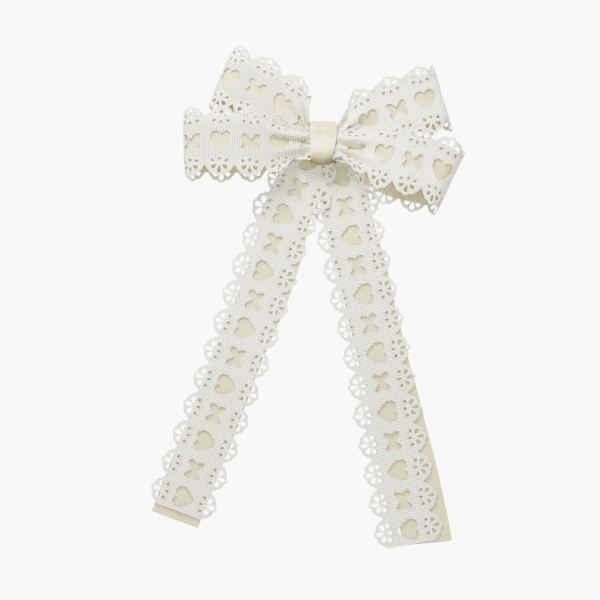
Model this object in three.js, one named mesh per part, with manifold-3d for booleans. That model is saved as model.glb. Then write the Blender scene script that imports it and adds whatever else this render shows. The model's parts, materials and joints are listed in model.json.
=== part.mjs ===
// Hair bow on an alligator clip: four lace-over-satin loops, two long tails, a satin knot and the clip.
// Millimetres, +Z up. The front faces -Y. The origin is the middle of the gap between the clip's jaws.
import * as THREE from 'three';
import { mergeVertices } from 'three/addons/utils/BufferGeometryUtils.js';
import Module from 'manifold-3d';

const wasm = await Module();
wasm.setup();

// ---- Driving dimensions ------------------------------------------------------------------------

const GAP = 0.3;                 // clearance between pieces that touch

const LACE_WIDTH = 35;           // scalloped ribbon, peak to peak
const LACE_THICKNESS = 0.6;
const SCALLOP_PITCH = 15;
const NOTCH_DEPTH = 4;           // how far the edge dips between two scallops
const LINING_WIDTH = 25;         // satin ribbon behind the lace
const LINING_THICKNESS = 0.4;
const LINING_GAP = 0.45;         // the lining lies loosely behind the lace
const LOOP_HOLLOW = 0.4;         // space left inside a flattened loop at the knot

const GATHER_HALF_HEIGHT = 8;    // a loop's half width where the knot pinches it
const GATHER_LENGTH = 26;        // distance over which a loop fans out to its full width
const OPENING_LENGTH = 45;       // distance over which a loop opens to its full depth
const FLAT_LENGTH = 11;          // a loop stays flat this far, over the tops of the tails
const TIER_OFFSET = 0.8;         // the upper tier sits this far above centre, the lower tier below

const KNOT_WIDTH = 12.2;
const KNOT_THICKNESS = 0.5;
const KNOT_CORNER = 2;
const THREAD_BAND_WIDTH = 4.5;   // the turns of thread lie side by side
const THREAD_THICKNESS = 0.7;
const THREAD_CORNER = 1;

const CLIP_LENGTH = 51;
const CLIP_WIDTH = 9;
const CLIP_TIP_X = -27;          // the clip lies along X, and its tip points to -X
const PLATE_THICKNESS = 0.8;
const JAW_GAP = 2.6;             // space for hair between the plates, at the origin
const JAW_LIFT = 0.2;            // the moving jaw's flat stretch stands this much further off
const JAW_SETBACK = 0.5;         // its tip ends this far behind the fixed jaw's tip
const JAW_FLAT_END = 7;          // its flat stretch ends this far before the pin
const TEETH_END = 15;            // its teeth end this far before the pin
const THUMB_START = 2.5;         // its thumb end starts this far past the pin
const PIN_X = 11;
const PIN_RADIUS = 0.75;
const PIN_CLEARANCE = 0.1;
const PIN_HEAD_RADIUS = 1.2;
const PIN_HEAD_THICKNESS = 0.4;
const EAR_WALL = 0.8;
const THUMB_RISE = 4.5;          // how far the thumb end of the moving jaw stands away
const TOOTH_PITCH = 2;
const TOOTH_DEPTH = 1;
const SPRING_WIRE_RADIUS = 0.3;
const SPRING_CLEARANCE = 0.15;   // between the coil and the pin
const JAW_CLEARANCE = 0.4;       // between the coil and each jaw's plate
const SPRING_TURNS = 2.5;
const SPRING_LEG_LENGTH = 10;

const GLUE_PAD = { x: 14, y: 1, z: 8 };

// Each loop's centre line, seen from the front: it leaves the knot, bends and ends at the outer fold.
// drop is how far the rear layer hangs below the front one.
const LOOPS = {
  upper_left: { tier: 'upper', bend: [-17, 22.5], fold: [-51, 34], drop: 1.5 },
  upper_right: { tier: 'upper', bend: [25.4, 15.3], fold: [59.8, 23.6], drop: 1.5 },
  lower_left: { tier: 'lower', bend: [-30, -1.2], fold: [-68.9, 0.9], drop: 2.5 },
  lower_right: { tier: 'lower', bend: [35.5, -7], fold: [65.6, -15.6], drop: 5 },
};
const DROP_FROM = [0.35, 0.6];   // shares of the strip's length between which the drop comes in
const DROP_TO = [0.7, 1];        // and goes out again
const ROOT_X = 0.5;              // the left and right loops meet at the middle of the knot
const KNOT_LEAD = KNOT_WIDTH / 2 + GAP - ROOT_X;   // each runs level until it leaves the knot
const OPEN_DEPTH = {             // where the two layers of an open loop stand, from back to front
  upper: { front: -7, back: 2 },
  lower: { front: -24, back: -10 },
};

// Each tail's centre line, seen from the front, and how far its lining drifts sideways at the lower end.
const TAILS = {
  left: {
    points: [[-2, 4], [-11, -20], [-23, -45], [-45.2, -112], [-72.3, -184.5]],
    lining: { drift: 0, overhang: 5 },
  },
  right: {
    points: [[2, 4], [9, -20], [15, -52], [29.4, -120], [44, -201]],
    lining: { drift: 7.5, overhang: 1 },
  },
};
const TAIL_TOP_HALF_WIDTH = 7;   // the tails are pinched together behind the knot
const TAIL_SPREAD_LENGTH = 22;
const TAIL_BEND_Z = -40;         // the tails bend below here, clear of the loops and of each other
const TAIL_BEND_CLEARANCE = 0.6;
const DRIFT_START = 0.2;         // the lining drifts below this share of the tail's length

// ---- Front-to-back stack behind the knot, worked out from the clip forwards ---------------------

const plateInnerY = -JAW_GAP / 2;
const plateOuterY = plateInnerY - PLATE_THICKNESS;
const gluePadY = plateOuterY - GAP - GLUE_PAD.y / 2;
const layerStep = LACE_THICKNESS / 2 + LINING_GAP + LINING_THICKNESS / 2;      // lace middle to lining middle
const tailY = {};
tailY.right = gluePadY - GLUE_PAD.y / 2 - GAP - LINING_THICKNESS / 2 - layerStep;
tailY.left = tailY.right - LACE_THICKNESS / 2 - GAP - LINING_THICKNESS / 2 - layerStep;
const knotBackY = tailY.left - LACE_THICKNESS / 2 - GAP;
const threadBackY = knotBackY - KNOT_THICKNESS - GAP;
const loopsBackY = threadBackY - THREAD_THICKNESS - GAP;
const tierHalf = LOOP_HOLLOW / 2 + LINING_THICKNESS / 2 + layerStep;    // loop middle to lace mid-plane
const tierDepth = 2 * tierHalf + LACE_THICKNESS;
const tierY = { upper: loopsBackY - tierDepth / 2 };
tierY.lower = tierY.upper - tierDepth - GAP;
const loopsFrontY = tierY.lower - tierDepth / 2;
const bundleHalfHeight = GATHER_HALF_HEIGHT + TIER_OFFSET;
const jawPlateInnerY = JAW_GAP / 2 + JAW_LIFT;

// ---- Shared helpers ----------------------------------------------------------------------------

const smooth = (from, to, x) => THREE.MathUtils.smoothstep(x, from, to);
const lerp = THREE.MathUtils.lerp;

// A closed solid of even thickness around the surface pointAt(row, column).
function sheetSolid(rows, columns, pointAt, thickness) {
  const at = (i, j) => pointAt(THREE.MathUtils.clamp(i, 0, rows), THREE.MathUtils.clamp(j, 0, columns));
  const positions = [];
  const index = [];
  for (const side of [1, -1]) {
    for (let i = 0; i <= rows; i++) {
      for (let j = 0; j <= columns; j++) {
        const along = at(i + 1, j).sub(at(i - 1, j));
        const across = at(i, j + 1).sub(at(i, j - 1));
        const normal = along.cross(across).normalize();
        positions.push(...at(i, j).addScaledVector(normal, side * thickness / 2));
      }
    }
  }
  const sideCount = (rows + 1) * (columns + 1);
  const top = (i, j) => i * (columns + 1) + j;
  const bottom = (i, j) => sideCount + top(i, j);
  const quad = (a, b, c, d) => index.push(a, b, c, a, c, d);
  for (let i = 0; i < rows; i++) {
    for (let j = 0; j < columns; j++) {
      quad(top(i, j), top(i + 1, j), top(i + 1, j + 1), top(i, j + 1));
      quad(bottom(i, j), bottom(i, j + 1), bottom(i + 1, j + 1), bottom(i + 1, j));
    }
    quad(top(i, 0), bottom(i, 0), bottom(i + 1, 0), top(i + 1, 0));
    quad(top(i, columns), top(i + 1, columns), bottom(i + 1, columns), bottom(i, columns));
  }
  for (let j = 0; j < columns; j++) {
    quad(top(0, j), top(0, j + 1), bottom(0, j + 1), bottom(0, j));
    quad(top(rows, j), bottom(rows, j), bottom(rows, j + 1), top(rows, j + 1));
  }
  const geometry = new THREE.BufferGeometry();
  geometry.setAttribute('position', new THREE.Float32BufferAttribute(positions, 3));
  geometry.setIndex(index);
  return geometry;
}

// The lace's edge dips between scallops: 0 at a peak, 1 in a notch. Each scallop has four rows.
const ROWS_PER_SCALLOP = 4;
const notchAt = (row) => [1, 0.3, 0, 0.3][row % ROWS_PER_SCALLOP];

const stripRows = (start, end) =>
  Math.max(1, Math.round(Math.abs(end - start) / SCALLOP_PITCH)) * ROWS_PER_SCALLOP;

// Lace and lining strips over one surface(distance, across, behind), across running -1 to 1. Where
// the surface is curved, the lace has a column over each edge of the lining, so that both bend alike.
const LINING_EDGE = LINING_WIDTH / LACE_WIDTH;

function laceStrip(surface, start, end, curved) {
  const rows = stripRows(start, end);
  const inner = curved ? [-LINING_EDGE, 0, LINING_EDGE] : [0];
  return sheetSolid(rows, inner.length + 1, (i, j) => {
    const edge = 1 - notchAt(i) * NOTCH_DEPTH / (LACE_WIDTH / 2);
    const across = [-edge, ...inner, edge][j];
    return surface(lerp(start, end, i / rows), across, 0);
  }, LACE_THICKNESS);
}

function liningStrip(surface, start, end) {
  const rows = stripRows(start, end);
  return sheetSolid(rows, 2, (i, j) => {
    return surface(lerp(start, end, i / rows), (j - 1) * LINING_EDGE, layerStep);
  }, LINING_THICKNESS);
}

// A band round the bundle: a rounded rectangle in the YZ plane, extruded along X about x = 0.
function roundedRectangle(shape, y0, y1, z0, z1, radius) {
  shape.moveTo(y0 + radius, z0);
  shape.absarc(y1 - radius, z0 + radius, radius, -Math.PI / 2, 0, false);
  shape.absarc(y1 - radius, z1 - radius, radius, 0, Math.PI / 2, false);
  shape.absarc(y0 + radius, z1 - radius, radius, Math.PI / 2, Math.PI, false);
  shape.absarc(y0 + radius, z0 + radius, radius, Math.PI, Math.PI * 1.5, false);
  return shape;
}

function bandSolid(innerFrontY, innerBackY, innerHalfHeight, thickness, corner, width) {
  const outer = roundedRectangle(new THREE.Shape(), innerFrontY - thickness, innerBackY + thickness,
    -innerHalfHeight - thickness, innerHalfHeight + thickness, corner);
  outer.holes.push(roundedRectangle(new THREE.Path(), innerFrontY, innerBackY,
    -innerHalfHeight, innerHalfHeight, corner - thickness / 2));
  const band = new THREE.ExtrudeGeometry(outer, { depth: width, bevelEnabled: false, curveSegments: 3 });
  band.rotateX(Math.PI / 2).rotateZ(Math.PI / 2).translate(-width / 2, 0, 0);
  return band;
}

// Booleans: closed three.js geometry to a solid and back.
function solid(geometry) {
  let bare = geometry.clone();
  bare.deleteAttribute('normal');
  bare.deleteAttribute('uv');
  bare = mergeVertices(bare, 1e-4);
  return new wasm.Manifold(new wasm.Mesh({
    numProp: 3,
    vertProperties: new Float32Array(bare.attributes.position.array),
    triVerts: new Uint32Array(bare.index.array),
  }));
}

function geometryOf(manifold) {
  const mesh = manifold.getMesh();
  const geometry = new THREE.BufferGeometry();
  geometry.setAttribute('position', new THREE.Float32BufferAttribute(mesh.vertProperties, 3));
  geometry.setIndex(Array.from(mesh.triVerts));
  return geometry;
}

// A flat outline in the XY plane, extruded along Z between two heights.
function extruded(outline, z0, z1) {
  const shape = outline instanceof THREE.Shape ? outline : new THREE.Shape(outline);
  const options = { depth: z1 - z0, bevelEnabled: false, curveSegments: 6 };
  return new THREE.ExtrudeGeometry(shape, options).translate(0, 0, z0);
}

const materials = {
  lace: new THREE.MeshStandardMaterial({ color: 0xf1efe8, roughness: 0.85, metalness: 0 }),
  satin: new THREE.MeshStandardMaterial({ color: 0xe6dcc0, roughness: 0.45, metalness: 0 }),
  knot: new THREE.MeshStandardMaterial({ color: 0xeee4ca, roughness: 0.35, metalness: 0 }),
  thread: new THREE.MeshStandardMaterial({ color: 0xf4f1e6, roughness: 0.8, metalness: 0 }),
  glue: new THREE.MeshStandardMaterial({ color: 0xe9e4d2, roughness: 0.3, metalness: 0 }),
  steel: new THREE.MeshStandardMaterial({ color: 0xb9bbbe, roughness: 0.25, metalness: 1 }),
};

const bow = new THREE.Group();

function add(name, geometry, material) {
  const mesh = new THREE.Mesh(geometry, material);
  mesh.name = name;
  bow.add(mesh);
}

// ---- Loops -------------------------------------------------------------------------------------

const SLOPE_STEP = { along: 0.5, across: 0.1 };   // steps over which a surface's slope is taken

// The loop's path in its own plane: r runs out along the centre line, y is depth. It goes out along
// the front layer, round the fold and back along the rear layer.
function loopPath(tier, reach) {
  const { front: openFront, back: openBack } = OPEN_DEPTH[tier];
  const opened = (r) => smooth(FLAT_LENGTH, OPENING_LENGTH, r);
  const front = (r) => lerp(tierY[tier] - tierHalf, openFront, opened(r));
  const back = (r) => lerp(tierY[tier] + tierHalf, openBack, opened(r));
  const foldRadius = (openBack - openFront) / 2;
  const straight = reach - foldRadius;
  const steps = 40;
  const path = [];
  for (let i = 0; i <= steps; i++) {
    const r = straight * i / steps;
    path.push({ r, y: front(r) });
  }
  for (let i = 1; i < steps; i++) {
    const angle = Math.PI * i / steps;
    const r = straight + foldRadius * Math.sin(angle);
    const depth = (1 - Math.cos(angle)) / 2;
    path.push({ r, y: lerp(front(r), back(r), depth) });
  }
  for (let i = steps; i >= 0; i--) {
    const r = straight * i / steps;
    path.push({ r, y: back(r) });
  }
  let length = 0;
  path[0].at = 0;
  for (let i = 1; i < path.length; i++) {
    length += Math.hypot(path[i].r - path[i - 1].r, path[i].y - path[i - 1].y);
    path[i].at = length;
  }
  return path;
}

function pathAt(path, distance) {
  let i = 1;
  while (i < path.length - 1 && path[i].at < distance) i++;
  const t = (distance - path[i - 1].at) / (path[i].at - path[i - 1].at);
  return { r: lerp(path[i - 1].r, path[i].r, t), y: lerp(path[i - 1].y, path[i].y, t) };
}

function loopSurface({ tier, bend, fold, drop }) {
  const side = Math.sign(fold[0]);
  const height = tier === 'upper' ? TIER_OFFSET : -TIER_OFFSET;
  const mouth = new THREE.Vector2(side * (ROOT_X + KNOT_LEAD), height);
  const line = new THREE.QuadraticBezierCurve(mouth, new THREE.Vector2(...bend), new THREE.Vector2(...fold));
  const reach = KNOT_LEAD + line.getLength();
  const path = loopPath(tier, reach);
  const length = path[path.length - 1].at;
  const mid = (distance, across) => {
    const { r, y } = pathAt(path, distance);
    const t = Math.min((r - KNOT_LEAD) / (reach - KNOT_LEAD), 1);
    const centre = t > 0 ? line.getPointAt(t) : new THREE.Vector2(side * (ROOT_X + r), height);
    const tangent = line.getTangentAt(Math.max(t, 0));
    const up = new THREE.Vector2(-side * tangent.y, side * tangent.x);
    const fanned = smooth(KNOT_LEAD, KNOT_LEAD + GATHER_LENGTH, r);
    up.lerp(new THREE.Vector2(0, 1), 1 - fanned).normalize();
    const half = lerp(GATHER_HALF_HEIGHT, LACE_WIDTH / 2, fanned);
    const q = distance / length;
    const lowered = drop * smooth(...DROP_FROM, q) * (1 - smooth(...DROP_TO, q));
    centre.addScaledVector(up, half * across - lowered);
    return new THREE.Vector3(centre.x, y, centre.y);
  };
  const surface = (distance, across, inward) => {
    const point = mid(distance, across);
    if (inward === 0) return point;
    const before = Math.max(distance - SLOPE_STEP.along, 0);
    const after = Math.min(distance + SLOPE_STEP.along, length);
    const along = mid(after, across).sub(mid(before, across));
    const over = mid(distance, across + SLOPE_STEP.across).sub(mid(distance, across - SLOPE_STEP.across));
    return point.addScaledVector(along.cross(over).normalize(), -side * inward);
  };
  return { surface, length };
}

for (const [name, loop] of Object.entries(LOOPS)) {
  const { surface, length } = loopSurface(loop);
  const flip = Math.sign(loop.fold[0]) > 0;
  const [start, end] = flip ? [0, length] : [length, 0];
  add(`${name}_loop_lace`, laceStrip(surface, start, end, true), materials.lace);
  add(`${name}_loop_lining`, liningStrip(surface, start, end), materials.satin);
}

// ---- Tails -------------------------------------------------------------------------------------

function tailSurface(side) {
  const { points, lining } = TAILS[side];
  const line = new THREE.SplineCurve(points.map(([x, z]) => new THREE.Vector2(x, z)));
  line.arcLengthDivisions = 400;
  const length = line.getLength();
  const surface = (distance, across, behind) => {
    const t = Math.min(distance / length, 1);
    const centre = line.getPointAt(t);
    const tangent = line.getTangentAt(t);
    if (distance > length) centre.addScaledVector(tangent, distance - length);
    const right = new THREE.Vector2(-tangent.y, tangent.x);
    const half = lerp(TAIL_TOP_HALF_WIDTH, LACE_WIDTH / 2, smooth(0, TAIL_SPREAD_LENGTH, distance));
    const drift = behind > 0 ? lining.drift * smooth(DRIFT_START, 1, t) : 0;
    centre.addScaledVector(right, half * across + drift);
    return new THREE.Vector3(centre.x, tailY[side] + behind, centre.y);
  };
  let bend = 0;
  while (line.getPointAt(bend / length).y > TAIL_BEND_Z) bend += 0.05;
  return { surface, length, bend, overhang: lining.overhang };
}

for (const side of ['left', 'right']) {
  const { surface, length, bend, overhang } = tailSurface(side);
  const rootEnd = bend - TAIL_BEND_CLEARANCE;
  const tailStart = bend + TAIL_BEND_CLEARANCE;
  add(`${side}_tail_root_lace`, laceStrip(surface, 0, rootEnd, false), materials.lace);
  add(`${side}_tail_root_lining`, liningStrip(surface, 0, rootEnd), materials.satin);
  add(`${side}_tail_lace`, laceStrip(surface, tailStart, length, false), materials.lace);
  add(`${side}_tail_lining`, liningStrip(surface, tailStart, length + overhang), materials.satin);
}

// ---- Binding thread, knot and glue -------------------------------------------------------------

const threadInnerHalf = bundleHalfHeight + GAP;
const knotInnerHalf = threadInnerHalf + THREAD_THICKNESS + GAP;
const knotFrontY = loopsFrontY - GAP - THREAD_THICKNESS - GAP;

add('binding_thread', bandSolid(loopsFrontY - GAP, loopsBackY + GAP, threadInnerHalf,
  THREAD_THICKNESS, THREAD_CORNER, THREAD_BAND_WIDTH), materials.thread);
add('knot_wrap', bandSolid(knotFrontY, knotBackY - KNOT_THICKNESS, knotInnerHalf,
  KNOT_THICKNESS, KNOT_CORNER, KNOT_WIDTH), materials.knot);

const gluePad = new THREE.BoxGeometry(GLUE_PAD.x, GLUE_PAD.y, GLUE_PAD.z);
add('glue_pad', gluePad.translate(0, gluePadY, 0), materials.glue);

// ---- Alligator clip ----------------------------------------------------------------------------

const coilRadius = PIN_RADIUS + SPRING_CLEARANCE + SPRING_WIRE_RADIUS;
const pinY = plateInnerY + JAW_CLEARANCE + coilRadius + SPRING_WIRE_RADIUS;
const clipEndX = CLIP_TIP_X + CLIP_LENGTH;
const earOuterZ = CLIP_WIDTH / 2;
const jawHalfWidth = earOuterZ - EAR_WALL - GAP;
const earRadius = coilRadius + SPRING_WIRE_RADIUS;

// An ear reaches from a plate at footY to the pin, and is round about the pin.
function earOutline(footY, radius) {
  const up = footY < pinY;
  const outline = new THREE.Shape();
  outline.moveTo(PIN_X - radius, footY);
  outline.lineTo(PIN_X - radius, pinY);
  outline.absarc(PIN_X, pinY, radius, Math.PI, 0, up);
  outline.lineTo(PIN_X + radius, footY);
  outline.closePath();
  return outline;
}

function pinHole() {
  const hole = new THREE.CylinderGeometry(PIN_RADIUS + PIN_CLEARANCE, PIN_RADIUS + PIN_CLEARANCE,
    CLIP_WIDTH + 2, 16);
  return solid(hole.rotateX(Math.PI / 2).translate(PIN_X, pinY, 0));
}

function fixedJaw() {
  const plate = new THREE.BoxGeometry(CLIP_LENGTH, PLATE_THICKNESS, CLIP_WIDTH);
  plate.translate(CLIP_TIP_X + CLIP_LENGTH / 2, plateInnerY - PLATE_THICKNESS / 2, 0);
  let jaw = solid(plate);
  for (const z of [earOuterZ - EAR_WALL, -earOuterZ]) {
    const foot = plateInnerY - PLATE_THICKNESS / 2;
    jaw = jaw.add(solid(extruded(earOutline(foot, earRadius + GAP), z, z + EAR_WALL)));
  }
  return geometryOf(jaw.subtract(pinHole()));
}

// The moving jaw's plate: toothed rails reach down to the fixed plate, and the thumb end stands away.
function movingJaw() {
  const tipX = CLIP_TIP_X + JAW_SETBACK;
  const coilTopY = pinY + earRadius + JAW_CLEARANCE;
  const flatEndX = PIN_X - JAW_FLAT_END;
  const inner = [[tipX, jawPlateInnerY], [flatEndX, jawPlateInnerY], [PIN_X - earRadius, coilTopY],
    [PIN_X + THUMB_START, coilTopY], [clipEndX, coilTopY + THUMB_RISE]];
  const outline = inner.map(([x, y]) => new THREE.Vector2(x, y));
  outline.push(...inner.map(([x, y]) => new THREE.Vector2(x, y + PLATE_THICKNESS)).reverse());
  let jaw = solid(extruded(outline, -jawHalfWidth, jawHalfWidth));

  const teeth = [];
  const tipY = plateInnerY + GAP;
  const railEndX = PIN_X - TEETH_END;
  const toothCount = Math.floor((railEndX - tipX) / TOOTH_PITCH);
  teeth.push(new THREE.Vector2(tipX + toothCount * TOOTH_PITCH, jawPlateInnerY + PLATE_THICKNESS / 2));
  teeth.push(new THREE.Vector2(tipX, jawPlateInnerY + PLATE_THICKNESS / 2));
  for (let i = 0; i < toothCount; i++) {
    teeth.push(new THREE.Vector2(tipX + i * TOOTH_PITCH, tipY + TOOTH_DEPTH));
    teeth.push(new THREE.Vector2(tipX + (i + 0.5) * TOOTH_PITCH, tipY));
  }
  teeth.push(new THREE.Vector2(tipX + toothCount * TOOTH_PITCH, tipY + TOOTH_DEPTH));
  for (const z of [jawHalfWidth - EAR_WALL, -jawHalfWidth]) {
    jaw = jaw.add(solid(extruded(teeth, z, z + EAR_WALL)));
    const ear = earOutline(coilTopY + PLATE_THICKNESS / 2, earRadius);
    jaw = jaw.add(solid(extruded(ear, z, z + EAR_WALL)));
  }
  return geometryOf(jaw.subtract(pinHole()));
}

function hingePin() {
  const headZ = earOuterZ + GAP;
  const endZ = headZ + PIN_HEAD_THICKNESS;
  const profile = [[0, -endZ], [PIN_HEAD_RADIUS, -endZ], [PIN_HEAD_RADIUS, -headZ], [PIN_RADIUS, -headZ],
    [PIN_RADIUS, headZ], [PIN_HEAD_RADIUS, headZ], [PIN_HEAD_RADIUS, endZ], [0, endZ]];
  const pin = new THREE.LatheGeometry(profile.map(([r, z]) => new THREE.Vector2(r, z)), 16);
  return geometryOf(solid(pin.rotateX(Math.PI / 2).translate(PIN_X, pinY, 0)));
}

// The wire runs along the fixed plate, winds round the pin and leaves along the thumb plate.
function torsionSpring() {
  const points = [];
  const coilHalfZ = jawHalfWidth - EAR_WALL - 2 * GAP - SPRING_WIRE_RADIUS;
  const legY = plateInnerY + GAP + SPRING_WIRE_RADIUS;
  points.push(new THREE.Vector3(PIN_X + SPRING_LEG_LENGTH, legY, -coilHalfZ));
  points.push(new THREE.Vector3(PIN_X + SPRING_LEG_LENGTH / 2, legY, -coilHalfZ));
  const steps = Math.round(SPRING_TURNS * 12);
  for (let i = 0; i <= steps; i++) {
    const angle = -Math.PI / 2 - SPRING_TURNS * 2 * Math.PI * i / steps;
    points.push(new THREE.Vector3(PIN_X + coilRadius * Math.cos(angle),
      pinY + coilRadius * Math.sin(angle), lerp(-coilHalfZ, coilHalfZ, i / steps)));
  }
  const slope = THUMB_RISE / (clipEndX - PIN_X - THUMB_START);
  const top = pinY + coilRadius;
  const bendX = THUMB_START + 2 * SPRING_WIRE_RADIUS;
  points.push(new THREE.Vector3(PIN_X + bendX, top + SPRING_WIRE_RADIUS, coilHalfZ));
  points.push(new THREE.Vector3(PIN_X + SPRING_LEG_LENGTH,
    top + SPRING_WIRE_RADIUS + slope * (SPRING_LEG_LENGTH - bendX), coilHalfZ));
  const wire = new THREE.Shape().absarc(0, 0, SPRING_WIRE_RADIUS, 0, 2 * Math.PI, false);
  return new THREE.ExtrudeGeometry(wire, {
    extrudePath: new THREE.CatmullRomCurve3(points, false, 'centripetal'),
    steps: points.length + 6,
    curveSegments: 3,
    bevelEnabled: false,
  });
}

add('clip_fixed_jaw', fixedJaw(), materials.steel);
add('clip_moving_jaw', movingJaw(), materials.steel);
add('clip_pin', hingePin(), materials.steel);
add('clip_spring', torsionSpring(), materials.steel);

export default bow;
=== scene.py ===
"""Hair bow: laser-cut grosgrain ribbon over satin, a wrapped satin knot and an alligator clip.

Metres in Blender, with sizes written in millimetres times MM. +Z is up and the front faces -Y.
"""

import json
import math

import bmesh
import bpy
import numpy as np
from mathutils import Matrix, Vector
from mathutils.geometry import delaunay_2d_cdt


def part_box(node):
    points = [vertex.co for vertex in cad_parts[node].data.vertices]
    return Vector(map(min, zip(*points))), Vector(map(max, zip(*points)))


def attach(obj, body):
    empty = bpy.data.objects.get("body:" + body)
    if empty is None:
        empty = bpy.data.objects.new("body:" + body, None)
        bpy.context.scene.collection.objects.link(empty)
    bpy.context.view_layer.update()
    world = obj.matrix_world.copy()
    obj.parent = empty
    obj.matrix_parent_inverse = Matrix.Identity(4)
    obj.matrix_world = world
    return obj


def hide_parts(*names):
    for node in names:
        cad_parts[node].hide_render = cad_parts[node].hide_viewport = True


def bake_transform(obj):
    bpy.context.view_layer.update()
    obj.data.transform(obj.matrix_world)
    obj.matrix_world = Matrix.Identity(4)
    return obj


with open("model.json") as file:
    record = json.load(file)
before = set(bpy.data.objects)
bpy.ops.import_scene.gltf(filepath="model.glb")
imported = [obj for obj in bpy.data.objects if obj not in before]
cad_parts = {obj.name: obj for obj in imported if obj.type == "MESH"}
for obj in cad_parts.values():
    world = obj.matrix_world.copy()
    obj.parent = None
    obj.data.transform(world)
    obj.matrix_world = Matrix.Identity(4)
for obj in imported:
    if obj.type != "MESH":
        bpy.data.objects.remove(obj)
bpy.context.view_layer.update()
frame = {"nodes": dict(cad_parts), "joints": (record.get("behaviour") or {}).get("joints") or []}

MM = 0.001

# ---- Ribbon sizes ------------------------------------------------------------------------------

LACE_WIDTH = 35 * MM
LACE_THICKNESS = 0.42 * MM
CELL_PITCH = 15 * MM             # one scallop and one cut-out motif
RIBS_PER_CELL = 13
STEPS_PER_RIB = 6
RIB_HEIGHT = 0.2 * MM
SOLID_HALF_WIDTH = 9.2 * MM      # the ribbed middle; beyond it lies the cut border
BORDER_FADE = 1.7 * MM           # the ribs die away over this width
NOTCH_AT = 11.6 * MM             # how near the middle the notch between two scallops comes
ROW_STEP = 1.35 * MM

LINING_WIDTH = 25 * MM
LINING_THICKNESS = 0.22 * MM
LINING_BEHIND = 0.95 * MM        # from the middle of the lace to the middle of the lining

GATHER_HALF_HEIGHT = 8 * MM
GATHER_LENGTH = {"upper": 20 * MM, "lower": 26 * MM}
OPENING_LENGTH = 45 * MM
FLAT_LENGTH = 11 * MM
PLEATS = 3
PLEAT_DEPTH = 2.1 * MM
PLEAT_LENGTH = 28 * MM

# Each loop's centre line from the knot to its outer fold, as x and z, and how far its rear layer drops.
# heart is where along the ribbon, from the knot, the heart nearest the fold lies.
LOOPS = {
    "upper_left": dict(tier="upper", bend=(-17.0, 22.5), fold=(-51.0, 34.0), drop=1.5, skew=-0.08, heart=59.0),
    "upper_right": dict(tier="upper", bend=(25.4, 15.3), fold=(59.8, 23.6), drop=1.5, skew=-0.05, heart=55.5),
    "lower_left": dict(tier="lower", bend=(-30.0, -1.2), fold=(-68.9, 0.9), drop=2.5, skew=0.07, heart=51.5),
    "lower_right": dict(tier="lower", bend=(35.5, -7.0), fold=(64.9, -15.0), drop=7.0, skew=0.18, heart=61.0),
}
TIER_HEIGHT = {"upper": 0.8, "lower": -0.8}
DROP_FROM = (0.35, 0.6)
DROP_TO = (0.7, 1.0)
FOLD_IN = (0.36, 0.5)            # the fold leans between these shares of the strip: skew is by how much
FOLD_OUT = (0.5, 0.64)
ROOT_X = 0.5 * MM

# Each tail's centre line from behind the knot to its end, as x and z. drift lists how far the lining
# wanders to the right: an amount, and the distances between which it comes on.
TAILS = {
    "left": dict(points=((-2, 4), (-11, -20), (-23, -45), (-45.2, -112), (-72.3, -184.5)),
                 drift=((3.6, 34, 64), (-3.4, 78, 125), (-0.6, 150, 190)), overhang=5.0, slant=0.0),
    "right": dict(points=((2, 4), (9, -20), (15, -52), (29.4, -120), (44, -201)),
                  drift=((2.2, 40, 75), (6.3, 90, 205)), overhang=2.0, slant=1.2),
}
TAIL_TOP_HALF_WIDTH = 7 * MM
TAIL_SPREAD_LENGTH = 22 * MM
CURL_FROM = 4.5 * MM             # both tails' left edges roll back from this far left of the middle
CURL_ANGLE = 0.85
CURL_LOST = 0.7                  # this share of the roll has gone by the end of the fade
CURL_FADE = (90 * MM, 150 * MM)


def smooth(start, end, x):
    t = np.clip((np.asarray(x, float) - start) / (end - start), 0, 1)
    return t * t * (3 - 2 * t)


def mix(a, b, t):
    return a + (b - a) * t


# ---- Node helpers ------------------------------------------------------------------------------

class Wire:
    """A node output, or a plain number, that can be used in ordinary arithmetic."""

    def __init__(self, tree, socket):
        self.tree = tree
        self.socket = socket

    def _math(self, operation, *values):
        node = self.tree.nodes.new("ShaderNodeMath")
        node.operation = operation
        for slot, value in zip(node.inputs, values):
            feed(self.tree, slot, value)
        return Wire(self.tree, node.outputs[0])

    def __add__(self, other):
        return self._math("ADD", self, other)

    def __radd__(self, other):
        return self._math("ADD", other, self)

    def __sub__(self, other):
        return self._math("SUBTRACT", self, other)

    def __rsub__(self, other):
        return self._math("SUBTRACT", other, self)

    def __mul__(self, other):
        return self._math("MULTIPLY", self, other)

    def __rmul__(self, other):
        return self._math("MULTIPLY", other, self)

    def __truediv__(self, other):
        return self._math("DIVIDE", self, other)

    def __mod__(self, other):
        return self._math("MODULO", self, other)

    def __lt__(self, other):
        return self._math("LESS_THAN", self, other)

    def __gt__(self, other):
        return self._math("GREATER_THAN", self, other)

    def cos(self):
        return self._math("COSINE", self)

    def abs(self):
        return self._math("ABSOLUTE", self)

    def power(self, other):
        return self._math("POWER", self, other)

    def clamp(self):
        return self._math("MINIMUM", self._math("MAXIMUM", self, 0.0), 1.0)


def feed(tree, slot, value):
    """Links a Wire to an input, or sets the input's own value."""
    if isinstance(value, Wire):
        tree.links.new(value.socket, slot)
    elif value is not None:
        slot.default_value = value


def make(tree, kind, settings=None, out=0, **values):
    """One node of a kind: its settings first, then its inputs by name or as i0, i1 and so on."""
    node = tree.nodes.new(kind)
    for key, value in (settings or {}).items():
        setattr(node, key, value)
    for key, value in values.items():
        if key[0] == "i" and key[1:].isdigit():
            slot = node.inputs[int(key[1:])]
        else:
            slot = node.inputs[key.replace("_", " ")]
        feed(tree, slot, value)
    return Wire(tree, node.outputs[out])


# ---- Lines and surfaces ------------------------------------------------------------------------

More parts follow.
